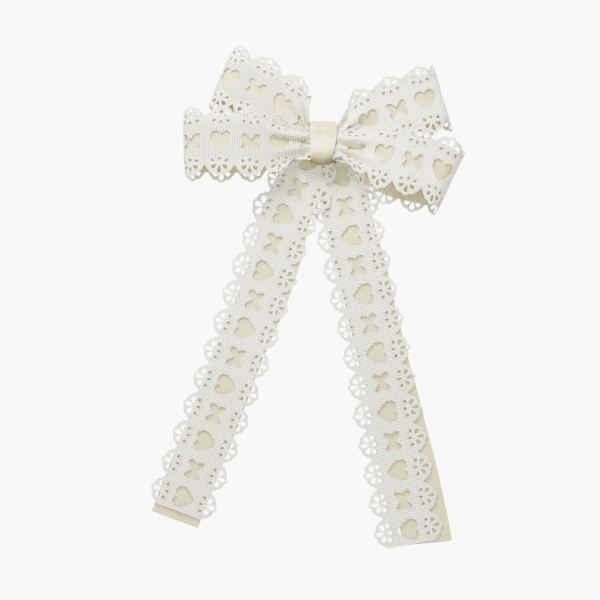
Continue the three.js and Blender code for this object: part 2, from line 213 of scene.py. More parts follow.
class Line:
    """A smooth line in the XZ plane, read by distance."""

    def __init__(self, points):
        self.points = np.array(points)
        steps = np.linalg.norm(np.diff(self.points, axis=0), axis=1)
        self.at = np.concatenate([[0], np.cumsum(steps)])
        self.length = self.at[-1]
        slope = np.gradient(self.points, self.at, axis=0)
        self.slope = slope / np.linalg.norm(slope, axis=1)[:, None]

    def place(self, distance):
        inside = np.clip(distance, 0, self.length)
        x, z = (np.interp(inside, self.at, self.points[:, k]) for k in (0, 1))
        tx, tz = (np.interp(inside, self.at, self.slope[:, k]) for k in (0, 1))
        beyond = distance - inside
        return x + tx * beyond, z + tz * beyond, tx, tz


def bezier_line(start, bend, end):
    t = np.linspace(0, 1, 400)[:, None]
    start, bend, end = (np.array(p, float) for p in (start, bend, end))
    return Line(start * (1 - t) ** 2 + bend * 2 * t * (1 - t) + end * t ** 2)


def spline_line(points):
    p = np.array(points, float)
    p = np.vstack([p[:1], p, p[-1:]])
    rows = []
    for i in range(1, len(p) - 2):
        t = np.linspace(0, 1, 120, endpoint=i == len(p) - 3)[:, None]
        lead, trail = (p[i + 1] - p[i - 1]) / 2, (p[i + 2] - p[i]) / 2
        gap = p[i + 1] - p[i]
        rows.append(p[i] + lead * t + (3 * gap - 2 * lead - trail) * t ** 2
                    + (lead + trail - 2 * gap) * t ** 3)
    return Line(np.vstack(rows))


class LoopRibbon:
    """A loop's flat ribbon coordinates, along and across, turned into places."""

    def __init__(self, name, tier, bend, fold, drop, skew, heart):
        self.side = math.copysign(1, fold[0])
        self.drop = drop * MM
        self.skew = skew
        self.heart = heart * MM
        low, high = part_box("knot_wrap")
        self.lead = (high.x - low.x) / 2 + 0.3 * MM - ROOT_X
        self.height = TIER_HEIGHT[tier] * MM
        self.gather = GATHER_LENGTH[tier]
        mouth = (self.side * (ROOT_X + self.lead), self.height)
        self.line = bezier_line(mouth, np.array(bend) * MM, np.array(fold) * MM)
        self.reach = self.lead + self.line.length
        self._depths(name)
        self._path()

    def _depths(self, name):
        """The two layers' places, front and back, when open and where they are pinched."""
        lace, lining = (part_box(f"{name}_loop_{part}") for part in ("lace", "lining"))
        half = 0.3 * MM
        self.open_front, self.open_back = lace[0].y + half, lace[1].y - half
        pinched = LINING_BEHIND + 0.4 * MM
        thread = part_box("binding_thread")
        inner_front, inner_back = thread[0].y + 0.7 * MM, thread[1].y - 0.7 * MM
        depth = (inner_back - inner_front) / 4
        middle = inner_back - depth if self.height > 0 else inner_front + depth
        self.pinch_front, self.pinch_back = middle - pinched, middle + pinched

    def _layers(self, r):
        opened = smooth(FLAT_LENGTH, OPENING_LENGTH, r)
        return mix(self.pinch_front, self.open_front, opened), mix(self.pinch_back, self.open_back, opened)

    def _path(self):
        radius = (self.open_back - self.open_front) / 2
        straight = self.reach - radius
        out = np.linspace(0, straight, 160)
        turn = np.linspace(0, np.pi, 80)[1:-1]
        r = np.concatenate([out, straight + radius * np.sin(turn), out[::-1]])
        front, back = self._layers(r)
        share = np.concatenate([np.zeros(160), (1 - np.cos(turn)) / 2, np.ones(160)])
        self.r, self.y = r, mix(front, back, share)
        steps = np.hypot(np.diff(self.r), np.diff(self.y))
        self.at = np.concatenate([[0], np.cumsum(steps)])
        self.length = self.at[-1]

    def surface(self, along, across):
        r = np.interp(along, self.at, self.r)
        y = np.interp(along, self.at, self.y)
        q = along / self.length
        r = r + self.skew * across * smooth(*FOLD_IN, q) * (1 - smooth(*FOLD_OUT, q))
        x, z, tx, tz = self.line.place(np.maximum(r - self.lead, 0))
        level = r < self.lead
        x = np.where(level, self.side * (ROOT_X + r), x)
        fanned = smooth(self.lead, self.lead + self.gather, r)
        ux, uz = -self.side * tz * fanned, self.side * tx * fanned + (1 - fanned)
        size = np.hypot(ux, uz)
        ux, uz = ux / size, uz / size
        half = mix(GATHER_HALF_HEIGHT, LACE_WIDTH / 2, fanned)
        lowered = self.drop * smooth(*DROP_FROM, q) * (1 - smooth(*DROP_TO, q))
        rise = half * across / (LACE_WIDTH / 2)
        # pleats start at the knot's edge and fade outwards, and each is a little different
        turns = (rise + self.height) / half * PLEATS * np.pi
        fade = 0.12 + 0.88 * smooth(self.lead - 1 * MM, self.lead + 5 * MM, r)
        fade = fade * (1 - smooth(self.lead + 5 * MM, self.lead + PLEAT_LENGTH, r))
        wave = np.cos(turns + 0.5 * np.sin(turns * 0.5 + self.side)) * (0.85 + 0.4 * np.sin(turns * 0.37 + self.side))
        y = y + PLEAT_DEPTH * fade * (wave - 0.25 * np.cos(2 * turns))
        # the free edges curl, and the loop's face is never quite even
        edge = np.abs(across) / (LACE_WIDTH / 2)
        outward = 1 - 2 * smooth(0.42, 0.58, q)
        wave = np.sin(along / (9.5 * MM) + self.side * 1.3 + across / (21 * MM))
        y = y - outward * fanned * (0.35 * MM * wave * edge ** 2 + 0.5 * MM * np.cos(along / (19 * MM)) * (1 - edge))
        rise = rise + fanned * 0.3 * MM * np.sin(along / (12 * MM) + 2 * self.side)
        return np.stack([x + ux * (rise - lowered), y, z + uz * (rise - lowered)], -1)


class TailRibbon:
    """A tail's flat ribbon coordinates, along and across, turned into places."""

    def __init__(self, side, points, drift, overhang, slant):
        self.side = -1 if side == "left" else 1
        self.line = spline_line(np.array(points) * MM)
        self.length = self.line.length
        self.drift = np.array(drift) * MM
        self.overhang = overhang * MM
        self.slant = slant * MM
        low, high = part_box(f"{side}_tail_lace")
        self.depth = (low.y + high.y) / 2

    def lining_shift(self, along):
        return sum(amount * smooth(start, end, along) for amount, start, end in self.drift)

    def surface(self, along, across):
        x, z, tx, tz = self.line.place(along)
        half = mix(TAIL_TOP_HALF_WIDTH, LACE_WIDTH / 2, smooth(0, TAIL_SPREAD_LENGTH, along))
        free = smooth(30 * MM, 62 * MM, along)
        # the left edge rolls back without stretching
        past = np.maximum(-across - CURL_FROM, 0)
        reach = LACE_WIDTH / 2 - CURL_FROM
        unroll = 1 - CURL_LOST * smooth(*CURL_FADE, along)
        wander = 0.75 + 0.25 * np.sin(along / (17 * MM) + self.side)
        angle = np.maximum(free * CURL_ANGLE * unroll * wander, 1e-6)
        radius = reach / angle
        rolled = np.where(past > 0, -CURL_FROM - radius * np.sin(past / radius), across)
        roll_depth = radius * (1 - np.cos(past / radius))
        edge = across / (LACE_WIDTH / 2)
        sway = 0.9 * MM * np.sin(along / (24 * MM) + self.side) + 0.5 * MM * np.sin(along / (11 * MM))
        ripple = 0.35 * MM * np.abs(edge) ** 3 * np.sin(along / (5.2 * MM) + 2 * self.side + edge)
        turn = 0.1 * np.maximum(across, 0) * np.sin(along / (31 * MM) + 1)
        y = self.depth + free * (sway + ripple + turn) + roll_depth
        rise = half * rolled / (LACE_WIDTH / 2)
        return np.stack([x - tz * rise, y, z + tx * rise], -1)


def grid_normals(points):
    """Unit normals of a grid of places, rows along and columns across."""
    along = np.gradient(points, axis=0)
    across = np.gradient(points, axis=1)
    normal = np.cross(along, across)
    return normal / np.linalg.norm(normal, axis=-1)[..., None]


# ---- Mesh helpers ------------------------------------------------------------------------------

def new_object(name, mesh, material=None):
    obj = bpy.data.objects.new(name, mesh)
    bpy.context.scene.collection.objects.link(obj)
    if material:
        mesh.materials.append(material)
    return obj


def grid_mesh(name, points, flat, closed=False):
    """A grid of quads with a flat UV map, in metres of ribbon. closed joins the last row to the first."""
    rows, columns = points.shape[:2]
    mesh = bpy.data.meshes.new(name)
    ids = np.arange(rows * columns).reshape(rows, columns)
    if closed:
        ids = np.vstack([ids, ids[:1]])
        flat = np.concatenate([flat, flat[-1:] + (flat[-1:] - flat[-2:-1])])
    quads = np.stack([ids[:-1, :-1], ids[1:, :-1], ids[1:, 1:], ids[:-1, 1:]], -1).reshape(-1, 4)
    mesh.from_pydata(points.reshape(-1, 3).tolist(), [], quads.tolist())
    places = np.arange(flat.shape[0] * flat.shape[1]).reshape(flat.shape[:2])
    corners = np.stack([places[:-1, :-1], places[1:, :-1], places[1:, 1:], places[:-1, 1:]], -1)
    layer = mesh.uv_layers.new(name="flat")
    layer.data.foreach_set("uv", flat.reshape(-1, 2)[corners.reshape(-1)].astype(np.float32).ravel())
    mesh.update()
    return mesh


def finished(obj, edge_angle=50):
    """Replaces obj's modifiers by their result, as one plain mesh with smooth faces and crisp edges."""
    depsgraph = bpy.context.evaluated_depsgraph_get()
    mesh = bpy.data.meshes.new_from_object(obj.evaluated_get(depsgraph), depsgraph=depsgraph)
    obj.modifiers.clear()
    old = obj.data
    obj.data = mesh
    if old.users == 0:
        bpy.data.meshes.remove(old)
    mesh.name = obj.name
    mesh.polygons.foreach_set("use_smooth", [True] * len(mesh.polygons))
    mesh.set_sharp_from_angle(angle=math.radians(edge_angle))
    mesh.update()
    return obj


def thickened(obj, thickness):
    wall = obj.modifiers.new("thickness", "SOLIDIFY")
    wall.thickness = thickness
    wall.offset = 0
    return obj


# ---- The lace pattern --------------------------------------------------------------------------

FLOWER_AT = 11.3 * MM            # the middle of each border flower, from the ribbon's middle
BEAD_HEIGHT = 0.24 * MM          # a raised bead runs round every hole in the border
BEAD_RINGS = ((0.28, 1.0), (0.62, 0.0))


def petal(angle, near, far, half_width):
    """A teardrop that points at the flower's middle: near and far are its ends, in millimetres from there."""
    t = np.linspace(0, 2 * np.pi, 14, endpoint=False)
    u = (1 - np.cos(t)) / 2
    out = mix(near, far, u) * MM
    side = half_width * MM * np.sin(t) * (0.45 + 0.75 * u)
    a = math.radians(angle)
    return np.stack([out * math.sin(a) + side * math.cos(a),
                     FLOWER_AT + out * math.cos(a) - side * math.sin(a)], -1)


def border_petals():
    petals = [petal(0, 0.75, 4.95, 1.26)]
    petals += [petal(a, 1.35, 4.7, 1.4) for a in (-62, 62)]
    petals += [petal(180, 0.9, 3.1, 1.05)]
    petals += [petal(a, 2.4, 4.85, 1.12) for a in (-113, 113)]
    return petals


def scallop_edge():
    """The border's outline over one cell, from notch to notch: a wide fan of three rounded bumps."""
    half = [(0.0, 17.5), (0.9, 17.25), (1.7, 16.65), (2.4, 16.15), (3.3, 16.25), (4.3, 15.75),
            (4.95, 14.95), (5.35, 14.45), (6.0, 13.9), (6.5, 13.05), (6.95, 12.3)]
    right = np.array(half) * MM
    ends = np.vstack([right[::-1] * (-1, 1), right[1:]])
    t = np.arange(len(ends))
    fine = np.linspace(0, len(ends) - 1, 3 * len(ends) - 2)
    return np.stack([np.interp(fine, t, ends[:, k]) for k in (0, 1)], -1)


def heart_outline():
    half = [(0.0, 3.35), (0.3, 3.85), (1.4, 4.75), (3.0, 4.95), (4.5, 4.15), (5.25, 2.5), (5.1, 0.6), (4.1, -1.3),
            (2.6, -3.1), (1.2, -4.55), (0.45, -5.05), (0.0, -5.15)]
    return mirrored_ring(half)


def bow_outline():
    """A small tied bow: two loops above, two tails below."""
    half = [(0.0, 1.5), (0.7, 1.8), (1.6, 3.1), (2.9, 4.0), (4.2, 4.0), (4.8, 2.9), (4.5, 1.3), (3.5, 0.2),
            (3.8, -0.9), (4.6, -2.1), (4.6, -3.5), (3.4, -3.9), (2.2, -3.1), (0.9, -2.1), (0.0, -1.8)]
    return mirrored_ring(half)


def mirrored_ring(half):
    """A closed smooth outline from its right half, top to bottom, in millimetres."""
    right = np.array(half)
    return smoothed_ring(np.vstack([right, right[-2:0:-1] * (-1, 1)]), 3) * MM


def smoothed_ring(ring, steps):
    """A closed smooth curve through the points, with steps pieces between each two."""
    before, after, beyond = np.roll(ring, 1, 0), np.roll(ring, -1, 0), np.roll(ring, -2, 0)
    rows = []
    for k in range(steps):
        t = k / steps
        lead, trail, gap = (after - before) / 2, (beyond - ring) / 2, after - ring
        rows.append(ring + lead * t + (3 * gap - 2 * lead - trail) * t ** 2 + (lead + trail - 2 * gap) * t ** 3)
    return np.stack(rows, 1).reshape(-1, 2)


def inside(points, ring):
    """Which points lie inside a closed outline."""
    x, y = points[:, 0][:, None], points[:, 1][:, None]
    x0, y0 = ring[:, 0], ring[:, 1]
    x1, y1 = np.roll(x0, -1), np.roll(y0, -1)
    with np.errstate(divide="ignore", invalid="ignore"):
        crossing = ((y0 > y) != (y1 > y)) & (x < (x1 - x0) * (y - y0) / (y1 - y0) + x0)
    return crossing.sum(1) % 2 == 1


def nearness(points, ring):
    """Each point's distance to a closed outline."""
    start, step = ring, np.roll(ring, -1, 0) - ring
    gap = points[:, None] - start
    share = np.clip((gap * step).sum(-1) / np.maximum((step ** 2).sum(-1), 1e-18), 0, 1)
    return np.linalg.norm(gap - share[..., None] * step, axis=-1).min(1)


def bead_points(outline, holes, motifs):
    """Points round each border hole, some of them raised, that keep clear of the other edges."""
    places, lifts = [], []
    edges = [outline] + holes
    for hole in holes[motifs:]:
        out = hole - hole.mean(0)
        out /= np.linalg.norm(out, axis=1)[:, None]
        for distance, height in BEAD_RINGS:
            ring = hole + out * distance * MM
            gap = np.min([nearness(ring, edge) for edge in edges], 0)
            ring = ring[(gap > distance * 0.7 * MM) & inside(ring, outline)]
            places.append(ring)
            lifts += [height * BEAD_HEIGHT] * len(ring)
    return np.vstack(places), np.array(lifts)


def lace_cell(name, motif):
    """One flat cell of the lace, x along the ribbon and y across: the motif and both border flowers cut out."""
    half = CELL_PITCH / 2
    top = scallop_edge()
    side_rows = np.linspace(-NOTCH_AT, NOTCH_AT, 2 * round(NOTCH_AT / ROW_STEP) + 1)
    right = np.stack([np.full(len(side_rows), half), side_rows[::-1]], -1)
    left = np.stack([np.full(len(side_rows), -half), side_rows], -1)
    outline = np.vstack([left[:-1], [left[-1]], top, right[:-1], [right[-1]], (top * (1, -1))[::-1]])
    petals = border_petals()
    holes = [motif] + petals + [p * (1, -1) for p in petals]

    columns = np.linspace(-half, half, RIBS_PER_CELL * STEPS_PER_RIB + 1)[1:-1]
    body = np.array([(x, y) for x in columns for y in side_rows[1:-1]])
    border_rows = np.arange(NOTCH_AT, LACE_WIDTH / 2, 0.9 * MM)
    border = np.array([(x, s * y) for x in columns[::6] for y in border_rows for s in (-1, 1)])
    fill = np.vstack([body, border])
    keep = inside(fill, outline) & (nearness(fill, outline) > 0.12 * MM)
    for hole in holes:
        keep &= ~inside(fill, hole) & (nearness(fill, hole) > (0.1 if hole is motif else 0.7) * MM)
    rings, lifts = bead_points(outline, holes, len(holes) - 2 * len(petals))
    points, edges = [], []
    for ring in [outline] + holes:
        first = len(points)
        points += [Vector(p / MM) for p in ring]
        edges += [(first + i, first + (i + 1) % len(ring)) for i in range(len(ring))]
    lift = np.concatenate([np.zeros(len(points)), np.zeros(keep.sum()), lifts])
    points += [Vector(p / MM) for p in np.vstack([fill[keep], rings])]
    verts, _, faces, sources, *_ = delaunay_2d_cdt(points, edges, [], 0, 1e-6, True)
    flat = np.array(verts) * MM
    raised = [max((lift[i] for i in found), default=0) for found in sources]
    faces = np.array(faces)
    middles = flat[faces].mean(1)
    good = inside(middles, outline)
    for hole in holes:
        good &= ~inside(middles, hole)
    mesh = bpy.data.meshes.new(name)
    mesh.from_pydata([(x, y, z) for (x, y), z in zip(flat, raised)], [], faces[good].tolist())
    mesh.update()
    corners = flat[faces[good]]
    a, b = corners[:, 1] - corners[:, 0], corners[:, 2] - corners[:, 0]
    area = np.abs(a[:, 0] * b[:, 1] - a[:, 1] * b[:, 0]).sum() / 2
    return new_object(name, mesh), area


# ---- Geometry Nodes: cells laid along a ribbon -------------------------------------------------

def lace_tree(heart_cell, bow_cell):
    """Lays heart and bow cells in turn along a ribbon and wraps them onto the guide surface."""
    tree = bpy.data.node_groups.new("lace_along_ribbon", "GeometryNodeTree")
    add = tree.interface.new_socket
    add("Guide", in_out="INPUT", socket_type="NodeSocketGeometry")
    add("Cells", in_out="INPUT", socket_type="NodeSocketInt")
    add("First Centre", in_out="INPUT", socket_type="NodeSocketFloat")
    add("Pitch", in_out="INPUT", socket_type="NodeSocketFloat")
    add("Length", in_out="INPUT", socket_type="NodeSocketFloat")
    add("Heart First", in_out="INPUT", socket_type="NodeSocketInt")
    add("Mirror", in_out="INPUT", socket_type="NodeSocketFloat")
    add("Rib Height", in_out="INPUT", socket_type="NodeSocketFloat")
    add("Bead Side", in_out="INPUT", socket_type="NodeSocketFloat")
    add("Material", in_out="INPUT", socket_type="NodeSocketMaterial")
    add("Lace", in_out="OUTPUT", socket_type="NodeSocketGeometry")
    entry = tree.nodes.new("NodeGroupInput")
    given = {s.name: Wire(tree, s) for s in entry.outputs if s.name}

    start = make(tree, "ShaderNodeCombineXYZ", X=given["First Centre"])
    step = make(tree, "ShaderNodeCombineXYZ", X=given["Pitch"])
    line = make(tree, "GeometryNodeMeshLine", dict(mode="OFFSET"), Count=given["Cells"],
                Start_Location=start, Offset=step)
    turn = (make(tree, "GeometryNodeInputIndex") + given["Heart First"]) % 2
    stretch = make(tree, "ShaderNodeCombineXYZ", X=given["Pitch"] / CELL_PITCH, Y=given["Mirror"], Z=1.0)
    join = tree.nodes.new("GeometryNodeJoinGeometry")
    for cell, chosen in ((heart_cell, turn > 0.5), (bow_cell, turn < 0.5)):
        info = tree.nodes.new("GeometryNodeObjectInfo")
        info.inputs["Object"].default_value = cell
        placed = make(tree, "GeometryNodeInstanceOnPoints", Points=line, Selection=chosen,
                      Instance=Wire(tree, info.outputs["Geometry"]), Scale=stretch)
        tree.links.new(placed.socket, join.inputs[0])
    flat = make(tree, "GeometryNodeRealizeInstances", Geometry=Wire(tree, join.outputs[0]))
    flat = make(tree, "GeometryNodeMergeByDistance", Geometry=flat, Distance=0.01 * MM)
    spot = make(tree, "GeometryNodeInputPosition")
    split = tree.nodes.new("ShaderNodeSeparateXYZ")
    tree.links.new(spot.socket, split.inputs[0])
    along, across, raised = (Wire(tree, split.outputs[k]) for k in range(3))
    flat = make(tree, "GeometryNodeStoreNamedAttribute", dict(data_type="FLOAT", domain="POINT"),
                Geometry=flat, Name="bead", Value=raised / BEAD_HEIGHT)
    outside = (along < 0.0) + (along > given["Length"])
    flat = make(tree, "GeometryNodeDeleteGeometry", Geometry=flat, Selection=outside)
    flat = make(tree, "GeometryNodeStoreNamedAttribute", dict(data_type="FLOAT2", domain="CORNER"),
                Geometry=flat, Name="flat", Value=spot)

    named = make(tree, "GeometryNodeInputNamedAttribute", dict(data_type="FLOAT_VECTOR"), Name="flat")
    sampled = []
    for field in (make(tree, "GeometryNodeInputPosition"), make(tree, "GeometryNodeInputNormal")):
        sampled.append(make(tree, "GeometryNodeSampleUVSurface", dict(data_type="FLOAT_VECTOR"),
                            Mesh=given["Guide"], Value=field, Source_UV_Map=named, Sample_UV=spot))
    rib = (along * (2 * math.pi * RIBS_PER_CELL) / given["Pitch"]).cos()
    band = 1 - ((across.abs() - SOLID_HALF_WIDTH) / BORDER_FADE).clamp()
    lift = make(tree, "ShaderNodeVectorMath", dict(operation="SCALE"), i0=sampled[1],
                Scale=rib * band * given["Rib Height"] + raised * given["Bead Side"])
    place = make(tree, "ShaderNodeVectorMath", dict(operation="ADD"), i0=sampled[0], i1=lift)
    shaped = make(tree, "GeometryNodeSetPosition", Geometry=flat, Position=place)
    shaped = make(tree, "GeometryNodeSetMaterial", Geometry=shaped, Material=given["Material"])
    leave = tree.nodes.new("NodeGroupOutput")
    tree.links.new(shaped.socket, leave.inputs[0])
    return tree


def set_inputs(modifier, **values):
    """Sets a Geometry Nodes modifier's inputs, found by name and set by identifier."""
    for item in modifier.node_group.interface.items_tree:
        key = item.name.replace(" ", "_")
        if item.item_type == "SOCKET" and item.in_out == "INPUT" and key in values:
            modifier[item.identifier] = values[key]


GUIDE_STEP = 0.6 * MM
GUIDE_MARGIN = 2 * MM


def guide_object(name, ribbon):
    """The surface that a ribbon's lace is wrapped onto."""
    along = np.arange(0, ribbon.length + GUIDE_STEP, GUIDE_STEP)
    half = LACE_WIDTH / 2 + GUIDE_MARGIN
    across = np.linspace(-half, half, 49)
    flat = np.stack(np.meshgrid(along, across, indexing="ij"), -1)
    points = ribbon.surface(flat[..., 0], flat[..., 1])
    return new_object(name, grid_mesh(name, points, flat))


def lace_piece(name, ribbon, tree, material, centre, heart_first, mirror=1.0, bead_side=1.0):
    """centre is one heart's place along the ribbon; cells run on from it both ways."""
    before = math.ceil((centre + CELL_PITCH / 2) / CELL_PITCH)
    first = centre - before * CELL_PITCH
    cells = math.ceil((ribbon.length - first) / CELL_PITCH) + 1
    obj = guide_object(name, ribbon)
    wrap = obj.modifiers.new("lace", "NODES")
    wrap.node_group = tree
    set_inputs(wrap, Cells=cells, First_Centre=first, Pitch=CELL_PITCH, Length=ribbon.length + 0.01 * MM,
               Heart_First=(before + heart_first) % 2, Mirror=mirror, Rib_Height=RIB_HEIGHT,
               Bead_Side=bead_side, Material=material)
    thickened(obj, LACE_THICKNESS)
    return finished(obj)


def lining_piece(name, ribbon, material, behind, end=0.0, slant=0.0):
    """A satin strip behind a ribbon's lace, offset along the surface's own normal."""
    along = np.arange(0, ribbon.length + end, 0.9 * MM)
    across = np.linspace(-LINING_WIDTH / 2, LINING_WIDTH / 2, 33)
    flat = np.stack(np.meshgrid(along, across, indexing="ij"), -1)
    flat[..., 0] *= 1 + slant * flat[..., 1] / (LINING_WIDTH / 2) / ribbon.length
    shift = ribbon.lining_shift(flat[..., 0]) if hasattr(ribbon, "lining_shift") else 0
    points = ribbon.surface(flat[..., 0], flat[..., 1] + shift)
    points = points + grid_normals(points) * behind
    obj = new_object(name, grid_mesh(name, points, flat), material)
    thickened(obj, LINING_THICKNESS)
    return finished(obj)


# ---- Materials ---------------------------------------------------------------------------------

def srgb(red, green, blue):
    """A colour from its everyday 0 to 255 values."""
    parts = [c / 255 for c in (red, green, blue)]
    return tuple(c / 12.92 if c <= 0.04045 else ((c + 0.055) / 1.055) ** 2.4 for c in parts) + (1.0,)


def new_material(name, color, roughness, metallic=0.0, **settings):
    material = bpy.data.materials.new(name)
    material.use_nodes = True
    tree = material.node_tree
    shader = tree.nodes["Principled BSDF"]
    feed(tree, shader.inputs["Base Color"], color)
    feed(tree, shader.inputs["Roughness"], roughness)
    feed(tree, shader.inputs["Metallic"], metallic)
    for key, value in settings.items():
        feed(tree, shader.inputs[key.replace("_", " ")], value)
    return material, tree, shader


def mixed(tree, factor, first, second):
    """One colour fading into another."""
    node = tree.nodes.new("ShaderNodeMix")
    node.data_type = "RGBA"
    for k, value in ((0, factor), (6, first), (7, second)):
        feed(tree, node.inputs[k], value)
    return Wire(tree, node.outputs[2])


def ribbon_coordinates(tree):
    """Along and across the ribbon, in metres, and the pair as a vector."""
    flat = make(tree, "ShaderNodeUVMap", dict(uv_map="flat"))
    split = tree.nodes.new("ShaderNodeSeparateXYZ")
    tree.links.new(flat.socket, split.inputs[0])
    return Wire(tree, split.outputs[0]), Wire(tree, split.outputs[1]), flat


def stretched_noise(tree, flat, along, across, detail=2.0):
    """Noise with that many lumps to the metre along and across the ribbon."""
    scaled = make(tree, "ShaderNodeVectorMath", dict(operation="MULTIPLY"), i0=flat, i1=(along, across, 1.0))
    return make(tree, "ShaderNodeTexNoise", dict(noise_dimensions="2D"), Vector=scaled, Scale=1.0, Detail=detail)


def bumped(tree, shader, height, distance, strength=1.0):
    bump = make(tree, "ShaderNodeBump", Height=height, Distance=distance, Strength=strength)
    feed(tree, shader.inputs["Normal"], bump)


RIB_WHITE = srgb(243, 238, 210)
# painted shade for the rib grooves: deep on the tails, faint on the loops
TAIL_GROOVE_SHADE = srgb(82, 79, 66)
LOOP_GROOVE_SHADE = srgb(146, 142, 124)
# painted highlight on the raised beads round the border holes, and painted shade on the flat border between them
BORDER_BEAD_HIGHLIGHT = srgb(246, 242, 224)
BORDER_PAINTED_SHADE = srgb(206, 201, 178)


def lace_material(name, groove_shade_color):
    material, tree, shader = new_material(name, RIB_WHITE, 0.75, Sheen_Weight=0.15)
    along, across, flat = ribbon_coordinates(tree)
    ridge = (along * (2 * math.pi * RIBS_PER_CELL) / CELL_PITCH).cos() * 0.5 + 0.5
    band = 1 - ((across.abs() - SOLID_HALF_WIDTH) / BORDER_FADE).clamp()
    # painted shade: the grooves between the ribs are coloured darker where shade falls in them; the thread noise
    # mixed in is real tone
    groove_shade = (1 - ridge).power(1.35) * band
    threads = stretched_noise(tree, flat, 5200, 900)
    woven = mixed(tree, groove_shade * 0.95 + (threads - 0.5) * 0.25 * band, RIB_WHITE, groove_shade_color)
    bead = make(tree, "ShaderNodeAttribute", dict(attribute_name="bead"), out=2)
    # painted highlight and shade: lighter on the raised beads, darker on the flat border between them
    border = mixed(tree, bead.clamp(), BORDER_PAINTED_SHADE, BORDER_BEAD_HIGHLIGHT)
    feed(tree, shader.inputs["Base Color"], mixed(tree, 1 - band, woven, border))
    bumped(tree, shader, threads * 0.5 + stretched_noise(tree, flat, 2600, 2600) * (1 - band), 0.12 * MM)
    return material


SATIN_LIGHT = srgb(210, 202, 142)
SATIN_DARK = srgb(164, 150, 84)


HIGHLIGHT_AT = 0.6 * MM              # how far below the middle of the knot's front its painted highlight band lies
HIGHLIGHT_REACH = 6.5 * MM
UNDER_SHADE_FROM = 3.9 * MM            # painted shade: its lowest part, where it turns under, is painted dark brown
UNDER_SHADE_REACH = 5.6 * MM
KNOT_UNDER_SHADE = srgb(84, 60, 26)


def satin_material(name, light, dark, roughness, painted_highlight=None):
    """Smooth ribbon whose fine threads run along it. The last colour, if given, is a painted highlight band about the
    middle of its length, and its lowest part, where it turns under, gets painted shade.
    """
    material, tree, shader = new_material(name, light, roughness, Sheen_Weight=0.1)
    along, across, flat = ribbon_coordinates(tree)
    threads = stretched_noise(tree, flat, 350, 4200, 1.0)
    clouds = stretched_noise(tree, flat, 90, 120, 3.0)
    tone = mixed(tree, (threads * 0.4 + (clouds - 0.5) * 0.6 + 0.3).clamp(), light, dark)
    if painted_highlight:
        # painted highlight: a lighter band across the middle of the knot's front, standing in for the satin's sheen
        near = 1 - ((along + HIGHLIGHT_AT).abs() / HIGHLIGHT_REACH).clamp()
        tone = mixed(tree, near * near * (3 - near * 2), tone, painted_highlight)
        # painted shade: dark brown towards the foot, where the band turns under
        under = ((0 - along - UNDER_SHADE_FROM) / UNDER_SHADE_REACH).clamp()
        tone = mixed(tree, under * under * (3 - under * 2), tone, KNOT_UNDER_SHADE)
    feed(tree, shader.inputs["Base Color"], tone)
    feed(tree, shader.inputs["Roughness"], clouds * 0.2 + (roughness - 0.1))
    bumped(tree, shader, threads, 0.05 * MM)
    return material


# ---- Making the bow ----------------------------------------------------------------------------

# two copies of one grosgrain that differ only in how dark their painted groove shade is
loop_lace = lace_material("loop_grosgrain", LOOP_GROOVE_SHADE)
tail_lace = lace_material("tail_grosgrain", TAIL_GROOVE_SHADE)
satin = satin_material("cream_satin", SATIN_LIGHT, SATIN_DARK, 0.42)
# the knot's satin has a painted highlight band across its middle and painted shade at its foot
knot_satin = satin_material("knot_satin", srgb(205, 190, 116), srgb(188, 170, 96), 0.42, srgb(238, 230, 182))

heart_cell, heart_area = lace_cell("heart_cell", heart_outline())
bow_cell, bow_area = lace_cell("bow_cell", bow_outline())
lace_share = (heart_area + bow_area) / 2 / (CELL_PITCH * LACE_WIDTH)
along_ribbon = lace_tree(heart_cell, bow_cell)
print("lace share", lace_share, len(heart_cell.data.polygons), len(bow_cell.data.polygons))

for name, loop in LOOPS.items():
    ribbon = LoopRibbon(name, **loop)
    outer = lace_piece(f"{name}_loop_ribbon", ribbon, along_ribbon, loop_lace, ribbon.heart, 1,
                       bead_side=ribbon.side)
    inner = lining_piece(f"{name}_loop_satin", ribbon, satin, -ribbon.side * LINING_BEHIND)
    for piece, part, slot in ((outer, "lace", "lace"), (inner, "lining", "satin")):
        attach(piece, "bow")
        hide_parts(f"{name}_loop_{part}")
    LACE_WIDTH * ribbon.length * lace_share

for side, tail in TAILS.items():
    ribbon = TailRibbon(side, **tail)
    outer = lace_piece(f"{side}_tail_ribbon", ribbon, along_ribbon, tail_lace,
                       ribbon.length - CELL_PITCH / 2, 1, ribbon.side)
    inner = lining_piece(f"{side}_tail_satin", ribbon, satin, -LINING_BEHIND,
                         ribbon.overhang, ribbon.slant)
    joint = next(j for j in frame["joints"] if j["name"] == f"{side}_tail_swing")
    hinge, axis = Vector(joint["pos_m"]), Vector(joint["axis"])
    down = Vector((-axis.z, 0, axis.x))
    if down.z > 0:
        down = -down
    for piece, part, slot in ((outer, "lace", "lace"), (inner, "lining", "satin")):
        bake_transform(piece)
        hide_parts(f"{side}_tail_{part}", f"{side}_tail_root_{part}")
    LACE_WIDTH * ribbon.length * lace_share
    ribbon.length + ribbon.overhang

for cell in (heart_cell, bow_cell):
    bpy.data.objects.remove(cell)

KNOT_THICKNESS = 0.5 * MM
KNOT_HALF_WIDTH = 6.1 * MM
KNOT_ROUNDNESS = 3.0             # 2 would be an oval, more is squarer
THREAD_ROUNDNESS = 4.2


def wrapped_path(node, thickness, bulge, roundness):
    """A rounded closed path, as y and z, half a thickness inside a node's box, with its lengths."""
    low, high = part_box(node)
    y_half = (high.y - low.y - thickness) / 2 + bulge
    z_half = (high.z - low.z - thickness) / 2
    a = np.linspace(-np.pi / 2, 3 * np.pi / 2, 721)
    power = 2 / roundness
    y = (low.y + high.y) / 2 - y_half * np.sign(np.cos(a)) * np.abs(np.cos(a)) ** power
    z = (low.z + high.z) / 2 + z_half * np.sign(np.sin(a)) * np.abs(np.sin(a)) ** power
    path = np.stack([y, z], -1)
    at = np.concatenate([[0], np.cumsum(np.linalg.norm(np.diff(path, axis=0), axis=1))])
    return path, at


